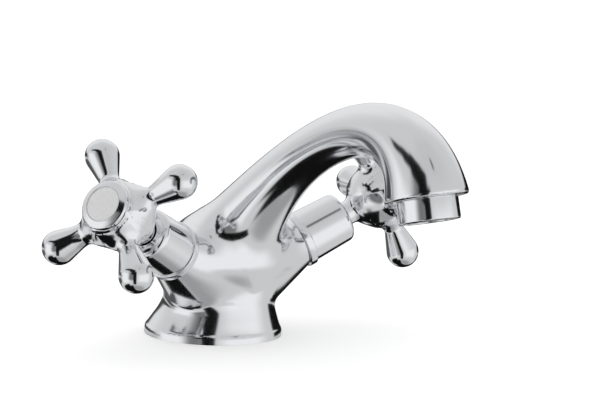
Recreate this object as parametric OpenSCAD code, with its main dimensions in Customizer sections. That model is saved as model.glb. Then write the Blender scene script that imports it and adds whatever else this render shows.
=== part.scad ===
// Basin mixer tap with two cross handles and a fixed arched spout.
// Millimetres. The origin is the centre of the foot's underside, +Z is up,
// the spout reaches toward -Y and the hot valve is at -X.

/* [Foot and body] */
// Diameter of the foot's rim
foot_d = 58; // [56:0.5:64]
// Height of the straight rim at the bottom of the foot
foot_rim_h = 2.4; // [1.6:0.1:3.6]
// Radius of the rounded upper edge of the rim
foot_rim_round = 1; // [0.4:0.1:1.4]
// Diameter of the waist above the foot
waist_d = 43.6; // [41:0.2:44]
// Height of the waist above the basin
waist_z = 16; // [13:0.5:17]
// Diameter of the body's column
column_d = 43.6; // [43:0.2:46.6]
// Height at which the column's dome begins
shoulder_z = 27; // [25:0.5:29]

/* [Spout] */
// Distance from the body's axis to the centre of the mouth
spout_reach = 127; // [115:1:140]
// Height of the mouth's centre above the basin
mouth_z = 72.5; // [66:0.5:84]
// Diameter of the mouth
mouth_d = 32.8; // [31:0.2:36]
// Forward tilt of the mouth in degrees
mouth_tilt = 14.6; // [6:0.2:20]
// Radius of the rounded edge of the mouth
mouth_round = 0.8; // [0.6:0.1:1.8]
// Distance of the spout's root in front of the body's axis
root_y = 5; // [3:0.5:7]
// Height of the spout's root
root_z = 30; // [28:0.5:33]
// Diameter of the spout at its root
root_d = 47; // [45:0.5:50]
// Rise of the spout at its root in degrees
root_rise = 56.8; // [52:0.2:62]
// Diameter of the spout at its neck
neck_d = 17; // [17:0.5:20]
// How far the root's direction carries
root_pull = 75; // [66:1:82]
// How far the mouth's direction carries
mouth_pull = 46; // [40:1:54]
// Power of the taper from the root to the neck
root_taper = 5.7; // [4:0.1:6.5]
// Power of the flare from the neck to the mouth
mouth_flare = 2.7; // [2.2:0.1:3.6]
// Diameter of the waterway in the spout
spout_bore_d = 9; // [7:0.5:10]

/* [Valve arms] */
// Rise of each arm above level in degrees
arm_rise = 26.5; // [23:0.5:30]
// Forward sweep of each arm in degrees
arm_sweep = 18.2; // [14:0.2:22]
// Distance in front of the body's axis at which the two valve axes meet
arm_y = 3; // [1.5:0.5:4.5]
// Height at which the two valve axes meet
arm_z = 21.4; // [20:0.2:24]
// Length of each arm, from where the axes meet to its face
arm_len = 38.5; // [37:0.5:44]
// Diameter of the arm at its face
arm_d = 22.6; // [20:0.2:24]
// Diameter of the arm at its root
arm_root_d = 42; // [40:0.5:44]
// Distance of the arm's root from where the axes meet
arm_root = 6; // [4:0.5:8]
// Distance at which the fillet to the spout leaves the arm, from where the axes meet
fillet_s = 25.6; // [24:0.2:28]
// Diameter of the fillet at the spout's root
fillet_root_d = 49.6; // [48:0.2:52]
// How far the middle of the fillet lies behind the spout's root
fillet_back = 0.9; // [0:0.1:2]
// Share of the spout's curve up to which the fillet reaches
fillet_reach = 0.05; // [0.03:0.01:0.1]
// How far the fillet stands out where it leaves the arms and the spout
fillet_rise = 0.8; // [0.3:0.1:1]

/* [Valve headwork] */
// Outer diameter of the headwork's thread, 3/8 inch pipe thread
valve_thread_d = 16.66; // [15:0.02:17]
// Distance of the valve seat from where the axes meet
seat_s = 19.5; // [18.5:0.5:21]
// Diameter of the waterway below each seat
seat_bore_d = 8; // [6:0.5:9]
// Depth of the waterway below each seat
seat_bore_depth = 8; // [6:0.5:10]
// Diameter of the drilling from each valve to the spout
outlet_d = 4; // [3:0.5:5]
// Diameter of the ceramic discs
disc_d = 11.8; // [10.6:0.1:12]
// Thickness of each ceramic disc
disc_h = 2.5; // [2:0.1:3]
// Diameter of the ports in the ceramic discs
port_d = 3.4; // [2.4:0.1:3.6]
// Thickness of the rubber seal on the seat
seat_seal_h = 1.7; // [1.2:0.1:2.4]
// Diameter of the spindle
spindle_d = 8; // [7.6:0.1:8.4]
// Height of the spindle's foot, which turns the moving disc
spindle_foot_h = 3; // [2.5:0.1:4]
// Width of the tongue under the spindle's foot
tang_w = 3; // [2.4:0.1:3.6]
// Height of the tongue under the spindle's foot
tang_h = 1; // [0.6:0.1:1.4]
// Side of the square that drives the handle
drive_side = 5.6; // [5:0.1:5.9]
// Width over the flats of the headwork's hexagon
hex_flats = 16; // [15.2:0.1:16.4]
// Height of the headwork's hexagon
hex_h = 5; // [4:0.5:7]
// Outer diameter of the headwork's neck
gland_d = 12.6; // [12:0.1:14]
// Length of the headwork's neck above the hexagon
gland_h = 13.5; // [12:0.5:14.5]
// Diameter of the cord of the spindle's O-rings
oring_cord = 1.5; // [1.2:0.1:1.7]
// Thickness of the circlip
clip_h = 0.8; // [0.6:0.1:1]
// Depth of the circlip's groove in the spindle
clip_groove = 0.8; // [0.5:0.1:1]

/* [Bonnet covers] */
// Diameter of the flange at the bottom of each cover
flange_d = 24.6; // [24:0.2:27]
// Height of the flange
flange_h = 3.6; // [2.5:0.1:4.5]
// Diameter of the cover above its flange
cover_d = 22.8; // [22.2:0.2:24]
// Diameter of the cover at its handle end
cover_end_d = 21.6; // [21:0.2:23]
// Height of each cover
cover_h = 23.5; // [22.5:0.5:26]
// Radius of the cover's rounded shoulder
cover_round = 2.6; // [1.5:0.1:3.2]
// Wall of the cover
cover_wall = 1.2; // [1:0.1:1.4]
// Size of the bevel on the flange's edges
flange_bevel = 0.8; // [0.4:0.1:1.2]

/* [Cross handles] */
// Diameter of the circle through the ball centres
ball_circle_d = 57; // [52:0.5:64]
// Diameter of each ball
ball_d = 14; // [12:0.2:15]
// Diameter of the thinnest part of each arm of the cross
cross_neck_d = 8.2; // [7:0.1:9]
// Taper of the teardrop behind each ball in degrees
teardrop = 15; // [12:0.5:20]
// How much each arm of the cross thickens toward the hub, on the radius
cross_root = 1.8; // [1:0.1:2.4]
// Distance of the balls from the cover's end along the axis
ball_lift = 19.5; // [18.5:0.5:22]
// Diameter of the hub's neck
hub_neck_d = 10.4; // [10:0.1:11]
// Diameter of the hub at the widest part of its bell
hub_bell_d = 23.4; // [21:0.2:24]
// Diameter of the hub under the index ring
hub_top_d = 19.6; // [18.6:0.2:20.4]
// Distance from the circlip to the foot of the hub
hub_clear = 1.4; // [1:0.1:2]
// Length of the hub's neck that shows above the cover
bell_gap = 3.4; // [2.5:0.1:4.5]
// Height over which the hub's bell opens
bell_h = 10; // [8:0.5:12]
// Height of the hub's top above the balls' plane
hub_top_lift = 9.4; // [8.8:0.2:11]
// Height of the hub's straight rim under the index ring
hub_rim = 0.8; // [0.5:0.1:1.2]
// Distance from the end of the drive square to the balls' plane
drive_drop = 4; // [3:0.5:5]
// Thickness of the metal between the drive socket and the screw's seat
screw_web = 1.2; // [1:0.1:1.6]
// Turn of the hot handle about its axis when shut
hot_turn = 35; // [0:1:89]
// Turn of the cold handle about its axis when shut
cold_turn = 5; // [0:1:89]
// Diameter of the handle screw's head
screw_head_d = 7; // [6:0.1:7.4]
// Diameter of the handle screw's thread
screw_d = 4; // [3.5:0.1:4.4]
// Height of the handle screw's head
screw_head_h = 2.6; // [2:0.1:3]
// Length of the handle screw's thread
screw_grip = 9; // [6:0.5:10]
// Outer diameter of the index ring
ring_d = 20.4; // [19.2:0.2:21.4]
// Height of the index ring above the hub
ring_h = 3; // [2.4:0.1:3.6]
// Diameter of the index disc
index_d = 14.7; // [14:0.1:15.4]
// Thickness of the index disc
index_h = 1.6; // [1.2:0.1:2]
// Length of the index ring's sleeve inside the hub
sleeve_h = 2.4; // [1.8:0.1:2.8]
// Wall of the index ring's sleeve
sleeve_wall = 1.2; // [0.9:0.1:1.6]

/* [Aerator] */
// Outer diameter of the aerator housing below the mouth
aerator_d = 23.8; // [23.4:0.2:26]
// Height of the aerator housing below the mouth
aerator_h = 8.8; // [7:0.2:10]
// Outer diameter of the aerator housing's thread
aerator_thread_d = 22; // [21:0.1:22.6]
// Length of the aerator housing's thread
aerator_thread_h = 7; // [5:0.5:8]
// Wall of the aerator housing at its thread
aerator_wall = 1.3; // [1:0.1:1.6]
// Thickness of the aerator's sealing washer
washer_h = 1.6; // [1.2:0.1:2.2]
// Width and height of the lip that holds the insert in the aerator
aerator_lip = 1.6; // [1:0.1:2]
// Width of the ledge in the mouth that the washer seats on
washer_seat = 2.5; // [1.5:0.1:3]
// Depth of the hollow above the washer
mouth_room = 4; // [2:0.5:6]
// Diameter of the holes in the aerator's grid
grid_hole_d = 1.5; // [1.2:0.1:1.7]
// Distance between the holes in the aerator's grid
grid_pitch = 2.4; // [2.2:0.1:3]

/* [Connections in the foot] */
// Diameter of each inlet's thread
inlet_d = 10; // [9.6:0.1:10.4]
// Distance of each inlet from the middle
inlet_x = 10; // [9:0.5:11]
// Distance of the inlets in front of the body's axis
inlet_y = 6; // [5:0.5:7]
// Depth of each inlet's thread
inlet_depth = 14; // [10:0.5:15]
// Diameter of the bore above each inlet's thread
inlet_bore_d = 7; // [6:0.5:8]
// Diameter of the fixing stud's thread
stud_d = 8; // [6:0.5:8]
// Distance of the fixing stud behind the body's axis
stud_y = 11; // [10:0.5:12]
// Depth of the fixing stud's thread
stud_depth = 16; // [10:0.5:18]
// Outer diameter of the base seal
base_seal_d = 52; // [51:0.5:53]
// Width of the base seal
base_seal_w = 4; // [2.5:0.5:4.5]
// Thickness of the base seal
base_seal_h = 1.6; // [1.2:0.1:2]

/* [Clearances] */
// Radial running clearance of turning parts
run_clear = 0.06; // [0.03:0.01:0.1]
// Radial clearance of parts that only slip together
slip_clear = 0.2; // [0.1:0.05:0.3]
// Radial clearance of the screwed threads
thread_clear = 0.04; // [0.02:0.01:0.08]
// Gap between the two ceramic discs
disc_gap = 0.04; // [0.02:0.01:0.06]
// Radial gap between the hub's neck and the cover
cover_gap = 0.45; // [0.3:0.05:0.6]
// End gap that lets the spindle turn
end_gap = 0.3; // [0.2:0.05:0.4]

/* [Hidden] */
$fn = 64;
eps = 0.01;
chrome = [0.80, 0.82, 0.84];
brass = [0.78, 0.64, 0.34];
rubber = [0.12, 0.12, 0.13];
ceramic = [0.95, 0.94, 0.90];
steel = [0.62, 0.64, 0.66];
plastic = [0.90, 0.90, 0.92];

// Places along a valve's own axis, measured from where the two axes meet
fixed_s = seat_s + seat_seal_h;
moving_s = fixed_s + disc_h + disc_gap;
foot_s = moving_s + disc_h + disc_gap;
cage_top = foot_s + spindle_foot_h + end_gap;
thread_root = cage_top + 0.5;
hex_top = arm_len + hex_h;
gland_top = hex_top + gland_h;
cover_top = arm_len + cover_h;
clip_s = gland_top + end_gap / 2;
ball_s = cover_top + ball_lift;
hub_foot = gland_top + clip_h + hub_clear;
hub_top = ball_s + hub_top_lift;
drive_top = ball_s - drive_drop;
drive_foot = hub_foot - end_gap;
screw_seat = drive_top + screw_web;
cup_d = index_d - 1.6;
cup_depth = sleeve_h + 0.6;
// Longer than any cut that runs out of the hub or the mouth
through = ball_circle_d;

// Other derived sizes
// A fitted O-ring is squeezed to a thinner section than its cord
ring_section = oring_cord - 0.35;
groove_depth = ring_section;
groove_w = oring_cord + 0.4;
outlet_s = foot_s + 1.2;
cage_port_d = 2.4;
chamber_d = valve_thread_d - 0.8;
cage_d = chamber_d - 2.2;
cavity_d = cover_end_d - 2 * cover_wall;
ring_below = hex_h / 2;
ring_above = 0.7 * hex_h;
cross_sink = 0.25 * ball_d;
screw_spare = screw_grip / 3;
insert_top_h = 2.2;
insert_wall = 1.5;
ring_steps = 30;
root_steps = 6;
ring_sides = 30;
fillet_sides = 48;
flare_over = 1.5;

// The spout's centre line is one cubic curve in the plane X = 0
p0 = [-root_y, root_z];
p1 = p0 + root_pull * [-cos(root_rise), sin(root_rise)];
p3 = [-spout_reach, mouth_z];
mouth_dir = [-sin(mouth_tilt), -cos(mouth_tilt)];
p2 = p3 - mouth_pull * mouth_dir;

function path(t) = pow(1 - t, 3) * p0 + 3 * pow(1 - t, 2) * t * p1
    + 3 * (1 - t) * t * t * p2 + pow(t, 3) * p3;
function slope(t) = 3 * pow(1 - t, 2) * (p1 - p0) + 6 * (1 - t) * t * (p2 - p1)
    + 3 * t * t * (p3 - p2);
function unit(v) = v / norm(v);
function spout_r(t) = neck_d / 2 + (root_d - neck_d) / 2 * pow(1 - t, root_taper)
    + (mouth_d - neck_d) / 2 * pow(t, mouth_flare);

// One ring of points round a place on the centre line
function ring(c, d, r, sides) = [for (i = [0:sides - 1])
    let (a = 360 * i / sides)
    [r * cos(a), c[0] - r * sin(a) * d[1], c[1] + r * sin(a) * d[0]]];

// Each of a tube's rings is [centre, direction, radius]; the tube is closed at both ends
module tube(rings, sides) {
    n = len(rings);
    points = [for (k = rings) for (q = ring(k[0], k[1], k[2], sides)) q];
    sides_faces = [for (j = [0:n - 2]) for (i = [0:sides - 1])
        let (a = j * sides + i, b = j * sides + (i + 1) % sides)
        each [[a, b, b + sides], [a, b + sides, a + sides]]];
    start = [for (i = [sides - 1:-1:0]) i];
    finish = [for (i = [0:sides - 1]) (n - 1) * sides + i];
    polyhedron(concat(points), concat(sides_faces, [start, finish]));
}

// Rings of the spout's outside: a round root, the tapering arch and a rounded mouth edge
root_rings = [for (i = [1:root_steps])
    let (a = 90 * i / (root_steps + 1), d = unit(slope(0)), r = spout_r(0))
    [p0 - r * cos(a) * d, d, r * sin(a)]];
arch_rings = [for (i = [0:ring_steps - 1])
    let (t = i / ring_steps)
    [path(t), unit(slope(t)), spout_r(t)]];
mouth_rings = [for (a = [0, 45, 90])
    [p3 - mouth_round * (1 - sin(a)) * mouth_dir, mouth_dir,
        mouth_d / 2 - mouth_round * (1 - cos(a))]];
spout_rings = concat(root_rings, arch_rings, mouth_rings);

way_from = 0.06;
way_steps = 20;
way_rings = [for (i = [0:way_steps])
    let (t = way_from + (1 - way_from) * i / way_steps)
    [path(t), unit(slope(t)), spout_bore_d / 2]];

// Places its children in a valve's frame: +Z runs outward along the valve's axis
module at_valve(side) {
    translate([0, -arm_y, arm_z])
        rotate([0, 90 - arm_rise, side < 0 ? 180 + arm_sweep : -arm_sweep])
            children();
}

// Places its children in the mouth's frame: +Z runs down and out of the mouth
module at_mouth() {
    translate([0, -spout_reach, mouth_z])
        rotate([180 - mouth_tilt, 0, 0])
            children();
}

module pipe(outer_d, inner_d, low, high) {
    translate([0, 0, low])
        difference() {
            cylinder(d = outer_d, h = high - low);
            translate([0, 0, -1])
                cylinder(d = inner_d, h = high - low + 2);
        }
}

// A smooth step from a at u = 0 to b at u = 1
function blend(a, b, u) = b + (a - b) * (1 + cos(180 * u)) / 2;

// Straight rim with a rounded edge, which carries a flare that leans forward to the waist
module foot() {
    rim = [for (a = [0:22.5:90])
        [foot_d / 2 - foot_rim_round * (1 - cos(a)), foot_rim_h + foot_rim_round * sin(a)]];
    flare_z = foot_rim_h + foot_rim_round / 2;
    // The flare goes on a little above the waist, into the column
    over = 1 + flare_over / (waist_z - flare_z);
    flare_d = foot_d - 0.6 * foot_rim_round;
    rotate_extrude()
        polygon(concat([[0, 0], [foot_d / 2, 0]], rim, [[0, foot_rim_h + foot_rim_round]]));
    hull() {
        translate([0, 0, flare_z])
            cylinder(d = flare_d, h = eps);
        translate([0, -arm_y * over, flare_z + (waist_z - flare_z) * over])
            cylinder(d = flare_d + (waist_d - flare_d) * over, h = eps);
    }
}

// Column with a domed top, in line with the valve arms
module column() {
    r = column_d / 2;
    dome = [for (a = [0:7.5:82.5]) [r * cos(a), shoulder_z + r * sin(a)]];
    translate([0, -arm_y, 0])
        rotate_extrude()
            polygon(concat([[0, waist_z / 2], [r, waist_z / 2]], dome, [[0, shoulder_z + r]]));
}

module arm_solid() {
    translate([0, 0, arm_root])
        cylinder(d1 = arm_root_d, d2 = arm_d, h = arm_len - arm_root);
}

// Soft fillet between the spout's root and both arms
module fillet() {
    half = atan((arm_root_d - arm_d) / 2 / (arm_len - arm_root));
    cone_d = arm_root_d + (arm_d - arm_root_d) * (fillet_s - arm_root) / (arm_len - arm_root);
    top = path(fillet_reach);
    hull() {
        for (side = [-1, 1])
            at_valve(side)
                translate([0, 0, fillet_s])
                    rotate([0, 0, 180 / fillet_sides])
                        sphere(d = cone_d * cos(half) + fillet_rise, $fn = fillet_sides);
        translate([0, p0[0] + fillet_back, p0[1]])
            sphere(d = fillet_root_d, $fn = fillet_sides);
        translate([0, top[0], top[1]])
            sphere(r = spout_r(fillet_reach) + fillet_rise, $fn = fillet_sides);
    }
}

module arm_bores() {
    translate([0, 0, seat_s])
        cylinder(d = chamber_d, h = arm_len);
    translate([0, 0, thread_root])
        cylinder(d = valve_thread_d, h = arm_len);
    translate([0, 0, seat_s - seat_bore_depth])
        cylinder(d = seat_bore_d, h = seat_bore_depth + 1);
}

// A straight drilling between two points
module drilling(a, b, d) {
    v = b - a;
    translate(a)
        rotate([0, acos(v[2] / norm(v)), atan2(v[1], v[0])])
            cylinder(d = d, h = norm(v));
}

module body() {
    n = [cos(arm_rise) * cos(arm_sweep), cos(arm_rise) * sin(arm_sweep), sin(arm_rise)];
    way_start = path(way_from);
    color(chrome)
        difference() {
            union() {
                foot();
                column();
                tube(spout_rings, ring_sides);
                fillet();
                for (side = [-1, 1])
                    at_valve(side)
                        arm_solid();
            }
            tube(way_rings, 12);
            at_mouth() {
                translate([0, 0, -aerator_thread_h - washer_h - mouth_room])
                    cylinder(d = aerator_thread_d - 2 * washer_seat, h = through);
                translate([0, 0, -aerator_thread_h - washer_h - 0.2])
                    cylinder(d = aerator_thread_d + 2 * run_clear, h = through);
            }
            for (side = [-1, 1]) {
                at_valve(side)
                    arm_bores();
                inlet_top = arm_z + (inlet_x / (cos(arm_rise) * cos(arm_sweep))) * sin(arm_rise);
                translate([side * inlet_x, -inlet_y, -1]) {
                    cylinder(d = inlet_d, h = inlet_depth + 1);
                    cylinder(d = inlet_bore_d, h = inlet_top + 1);
                }
                drilling([side * n[0] * outlet_s, -arm_y - n[1] * outlet_s, arm_z + n[2] * outlet_s],
                    [0, way_start[0], way_start[1] + 1], outlet_d);
            }
            translate([0, stud_y, -1])
                cylinder(d = stud_d, h = stud_depth + 1);
            pipe(base_seal_d, base_seal_d - 2 * base_seal_w, -1, base_seal_h);
        }
}

module base_seal() {
    color(rubber)
        pipe(base_seal_d, base_seal_d - 2 * base_seal_w, 0, base_seal_h);
}

module aerator_housing() {
    inner = aerator_thread_d - 2 * aerator_wall;
    chamfer = 0.7;
    color(chrome)
        at_mouth()
            rotate_extrude()
                polygon([[inner / 2, -aerator_thread_h], [aerator_thread_d / 2, -aerator_thread_h],
                    [aerator_thread_d / 2, 0], [aerator_d / 2, 0],
                    [aerator_d / 2, aerator_h - chamfer], [aerator_d / 2 - chamfer, aerator_h],
                    [inner / 2 - aerator_lip, aerator_h],
                    [inner / 2 - aerator_lip, aerator_h - aerator_lip],
                    [inner / 2, aerator_h - aerator_lip]]);
}

module aerator_insert() {
    inner = aerator_thread_d - 2 * aerator_wall - 2 * slip_clear;
    low = aerator_h - aerator_lip;
    rows = floor(inner / 2 / grid_pitch) - 1;
    color(plastic)
        at_mouth()
            difference() {
                translate([0, 0, -aerator_thread_h + 1])
                    cylinder(d = inner, h = low + aerator_thread_h - 1);
                translate([0, 0, -aerator_thread_h])
                    cylinder(d = inner - 2 * insert_wall, h = aerator_thread_h + low - insert_top_h);
                for (i = [-rows:rows], j = [-rows:rows])
                    if (norm([i, j]) * grid_pitch < inner / 2 - grid_pitch)
                        translate([i * grid_pitch, j * grid_pitch, low - insert_top_h - 1])
                            cylinder(d = grid_hole_d, h = insert_top_h + 2);
            }
}

module aerator_washer() {
    inner = aerator_thread_d - 2 * aerator_wall - 2;
    color(rubber)
        at_mouth()
            pipe(aerator_thread_d - 2 * slip_clear, inner, -aerator_thread_h - washer_h, -aerator_thread_h);
}

module headwork(side) {
    bore = spindle_d + 2 * run_clear;
    color(brass)
        at_valve(side)
            difference() {
                union() {
                    pipe(cage_d, disc_d + 2 * run_clear, seat_s + 0.4, cage_top);
                    translate([0, 0, cage_top])
                        cylinder(d = cage_d, h = thread_root - cage_top + eps);
                    translate([0, 0, thread_root])
                        cylinder(d = valve_thread_d - 2 * thread_clear, h = arm_len - thread_root);
                    translate([0, 0, arm_len])
                        cylinder(d = hex_flats / cos(30), h = hex_h, $fn = 6);
                    translate([0, 0, hex_top])
                        cylinder(d = gland_d, h = gland_h);
                }
                translate([0, 0, seat_s])
                    cylinder(d = bore, h = gland_top);
                for (a = [0, 90])
                    rotate([0, 0, a])
                        translate([-cage_d, 0, outlet_s])
                            rotate([0, 90, 0])
                                cylinder(d = cage_port_d, h = 2 * cage_d);
            }
}

module seat_seal(side) {
    color(rubber)
        at_valve(side)
            pipe(disc_d, seat_bore_d, seat_s, fixed_s);
}

module ports(low, high) {
    for (a = [0, 180])
        rotate([0, 0, a])
            translate([disc_d / 4, 0, low])
                cylinder(d = port_d, h = high - low);
}

module fixed_disc(side) {
    color(ceramic)
        at_valve(side)
            difference() {
                translate([0, 0, fixed_s])
                    cylinder(d = disc_d, h = disc_h);
                ports(fixed_s - 1, fixed_s + disc_h + 1);
            }
}

// Shut: the moving disc's ports stand a quarter turn from the fixed disc's
module moving_disc(side) {
    top = moving_s + disc_h;
    color(ceramic)
        at_valve(side)
            rotate([0, 0, 90])
                difference() {
                    translate([0, 0, moving_s])
                        cylinder(d = disc_d, h = disc_h);
                    ports(moving_s - 1, top + 1);
                    translate([-tang_w / 2, -disc_d, top - tang_h - 0.1])
                        cube([tang_w, 2 * disc_d, tang_h + 1]);
                }
}

function groove_s() = [hex_top - ring_below, hex_top + ring_above];

module spindle(side, turn) {
    tang = tang_w - 2 * slip_clear;
    color(brass)
        at_valve(side)
            difference() {
                union() {
                    translate([0, 0, foot_s])
                        cylinder(d = disc_d - 2 * slip_clear, h = spindle_foot_h);
                    translate([-(disc_d - 2) / 2, -tang / 2, foot_s - tang_h])
                        cube([disc_d - 2, tang, tang_h + eps]);
                    translate([0, 0, foot_s + spindle_foot_h - eps])
                        cylinder(d = spindle_d, h = drive_foot - foot_s - spindle_foot_h);
                    rotate([0, 0, turn])
                        translate([-drive_side / 2, -drive_side / 2, drive_foot - 1])
                            cube([drive_side, drive_side, drive_top - drive_foot + 1]);
                }
                for (s = groove_s())
                    pipe(spindle_d + 2, spindle_d - 2 * groove_depth, s - groove_w / 2, s + groove_w / 2);
                pipe(spindle_d + 2, spindle_d - 2 * clip_groove, clip_s - 0.1, clip_s + clip_h + 0.1);
                translate([0, 0, drive_top - screw_grip - screw_spare])
                    cylinder(d = screw_d, h = screw_grip + screw_spare + 1);
            }
}

module spindle_o_rings(side) {
    // The ring lies midway between its groove and the headwork's bore
    middle_r = (spindle_d - groove_depth + run_clear) / 2;
    color(rubber)
        at_valve(side)
            for (s = groove_s())
                translate([0, 0, s])
                    rotate_extrude()
                        translate([middle_r, 0])
                            circle(d = ring_section, $fn = 24);
}

module circlip(side) {
    color(steel)
        at_valve(side)
            translate([0, 0, clip_s])
                rotate_extrude(angle = 300, start = 30)
                    translate([spindle_d / 2 - clip_groove, 0])
                        square([(gland_d - spindle_d) / 2 + clip_groove - 0.6, clip_h]);
}

module bonnet_cover(side) {
    r0 = flange_d / 2;
    r1 = cover_d / 2;
    r2 = cover_end_d / 2;
    hole = hub_neck_d / 2 + cover_gap;
    shoulder = [for (a = [0:15:90])
        [r2 - cover_round * (1 - cos(a)), cover_top - cover_round * (1 - sin(a))]];
    color(chrome)
        at_valve(side)
            rotate_extrude()
                polygon(concat(
                    [[cavity_d / 2, arm_len], [r0 - flange_bevel, arm_len], [r0, arm_len + flange_bevel],
                        [r0, arm_len + flange_h - flange_bevel], [r0 - flange_bevel, arm_len + flange_h],
                        [r1, arm_len + flange_h]],
                    shoulder,
                    [[hole, cover_top], [hole, cover_top - cover_wall],
                        [cavity_d / 2, cover_top - cover_wall]]));
}

// One arm of the cross, lying along +X: a neck, a teardrop and a ball
module cross_arm() {
    ball_r = ball_d / 2;
    neck_r = cross_neck_d / 2;
    ring_r = ball_circle_d / 2;
    touch_x = ring_r - ball_r * sin(teardrop);
    touch_r = ball_r * cos(teardrop);
    neck_x = touch_x - (touch_r - neck_r) / tan(teardrop);
    // Inside the hub the arm begins thick, and it thins to its neck on a hollow curve
    root_x = hub_bell_d / 2 - cross_sink;
    root_r = neck_r + cross_root;
    root = [for (a = [0:18:90])
        [neck_r + (root_r - neck_r) * (1 - sin(a)), root_x + (neck_x - root_x) * (1 - cos(a))]];
    rotate([0, 90, 0])
        rotate_extrude()
            polygon(concat([[0, root_x]], root, [[touch_r, touch_x], [0, touch_x]]));
    translate([ring_r, 0, 0])
        sphere(d = ball_d);
}

module cross_handle(side, turn) {
    neck_r = hub_neck_d / 2;
    bell_r = hub_bell_d / 2;
    top_r = hub_top_d / 2;
    bell_foot = cover_top + bell_gap;
    bell_s = bell_foot + bell_h;
    // The bell opens above the neck, then draws in again below the index ring
    bell = [for (u = [0:0.1:1]) [blend(neck_r, bell_r, u), bell_foot + bell_h * u]];
    crown = [for (a = [0:15:90])
        [top_r + (bell_r - top_r) * cos(a), ball_s + (hub_top - hub_rim - ball_s) * sin(a)]];
    color(chrome)
        at_valve(side)
            rotate([0, 0, turn])
                difference() {
                    union() {
                        rotate_extrude()
                            polygon(concat([[0, hub_foot], [neck_r, hub_foot]], bell, crown,
                                [[top_r, hub_top], [0, hub_top]]));
                        for (i = [0:3])
                            rotate([0, 0, 90 * i])
                                translate([0, 0, ball_s])
                                    cross_arm();
                    }
                    translate([-drive_side / 2 - run_clear, -drive_side / 2 - run_clear, hub_foot - 1])
                        cube([drive_side + 2 * run_clear, drive_side + 2 * run_clear,
                            drive_top - hub_foot + 1 + end_gap]);
                    translate([0, 0, drive_top - 1])
                        cylinder(d = screw_d + 2 * slip_clear, h = through);
                    translate([0, 0, screw_seat])
                        cylinder(d = screw_head_d + 1, h = through);
                    translate([0, 0, hub_top - cup_depth])
                        cylinder(d = cup_d, h = through);
                }
}

module handle_screw(side, turn) {
    color(steel)
        at_valve(side)
            rotate([0, 0, turn])
                difference() {
                    union() {
                        translate([0, 0, drive_top - screw_grip])
                            cylinder(d = screw_d - 2 * thread_clear, h = screw_web + screw_grip + eps);
                        translate([0, 0, screw_seat])
                            cylinder(d1 = screw_head_d, d2 = screw_head_d - 1.2, h = screw_head_h);
                    }
                    for (a = [0, 90])
                        rotate([0, 0, a])
                            translate([-screw_head_d / 2 + 1, -0.5, screw_seat + screw_head_h - 1.2])
                                cube([screw_head_d - 2, 1, 3]);
                }
}

module index_ring(side, turn) {
    outer = ring_d / 2;
    inner = index_d / 2;
    color(chrome)
        at_valve(side)
            rotate([0, 0, turn])
                rotate_extrude()
                    polygon([[cup_d / 2 - slip_clear - sleeve_wall, hub_top - sleeve_h],
                        [cup_d / 2 - slip_clear, hub_top - sleeve_h],
                        [cup_d / 2 - slip_clear, hub_top], [outer, hub_top],
                        [outer, hub_top + 0.8], [outer - 0.5, hub_top + 1.3],
                        [inner + 0.9, hub_top + ring_h], [inner + slip_clear, hub_top + ring_h],
                        [inner + slip_clear, hub_top + ring_h - index_h],
                        [cup_d / 2 - slip_clear - sleeve_wall, hub_top + ring_h - index_h]]);
}

module index_disc(side, turn) {
    low = hub_top + ring_h - index_h;
    color(steel)
        at_valve(side)
            rotate([0, 0, turn])
                rotate_extrude()
                    polygon([[0, low], [index_d / 2, low], [index_d / 2, low + index_h - 0.4],
                        [index_d / 2 - 0.4, low + index_h], [0, low + index_h]]);
}

body();
base_seal();
aerator_housing();
aerator_insert();
aerator_washer();
headwork(-1);  // hot_headwork
seat_seal(-1);  // hot_seat_seal
fixed_disc(-1);  // hot_fixed_disc
moving_disc(-1);  // hot_moving_disc
spindle(-1, hot_turn);  // hot_spindle
spindle_o_rings(-1);  // hot_spindle_o_rings
circlip(-1);  // hot_circlip
bonnet_cover(-1);  // hot_bonnet_cover
cross_handle(-1, hot_turn);  // hot_cross_handle
handle_screw(-1, hot_turn);  // hot_handle_screw
index_ring(-1, hot_turn);  // hot_index_ring
index_disc(-1, hot_turn);  // hot_index_disc
headwork(1);  // cold_headwork
seat_seal(1);  // cold_seat_seal
fixed_disc(1);  // cold_fixed_disc
moving_disc(1);  // cold_moving_disc
spindle(1, cold_turn);  // cold_spindle
spindle_o_rings(1);  // cold_spindle_o_rings
circlip(1);  // cold_circlip
bonnet_cover(1);  // cold_bonnet_cover
cross_handle(1, cold_turn);  // cold_cross_handle
handle_screw(1, cold_turn);  // cold_handle_screw
index_ring(1, cold_turn);  // cold_index_ring
index_disc(1, cold_turn);  // cold_index_disc
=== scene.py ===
import math

import bpy
import numpy as np
from mathutils import Matrix, Vector


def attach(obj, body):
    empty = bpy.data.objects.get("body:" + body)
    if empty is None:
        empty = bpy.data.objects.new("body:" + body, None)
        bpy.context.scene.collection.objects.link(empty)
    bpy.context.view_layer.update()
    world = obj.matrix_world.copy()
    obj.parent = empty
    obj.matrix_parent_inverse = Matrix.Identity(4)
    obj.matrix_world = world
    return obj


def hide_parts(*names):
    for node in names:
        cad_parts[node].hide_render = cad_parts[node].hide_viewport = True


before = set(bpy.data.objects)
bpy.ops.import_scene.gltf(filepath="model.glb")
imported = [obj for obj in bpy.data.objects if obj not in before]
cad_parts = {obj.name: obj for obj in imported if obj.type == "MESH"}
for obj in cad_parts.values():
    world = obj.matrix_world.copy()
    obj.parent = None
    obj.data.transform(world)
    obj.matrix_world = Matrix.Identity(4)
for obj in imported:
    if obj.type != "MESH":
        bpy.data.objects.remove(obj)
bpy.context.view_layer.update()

bl_info = {
    "name": "Basin Mixer Tap",
    "version": (1, 0, 0),
    "blender": (4, 5, 0),
    "location": "View3D > Sidebar > Tap",
    "description": "Builds the finished look of a two-handle basin mixer tap round its CAD frame",
    "category": "Object",
}

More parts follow.
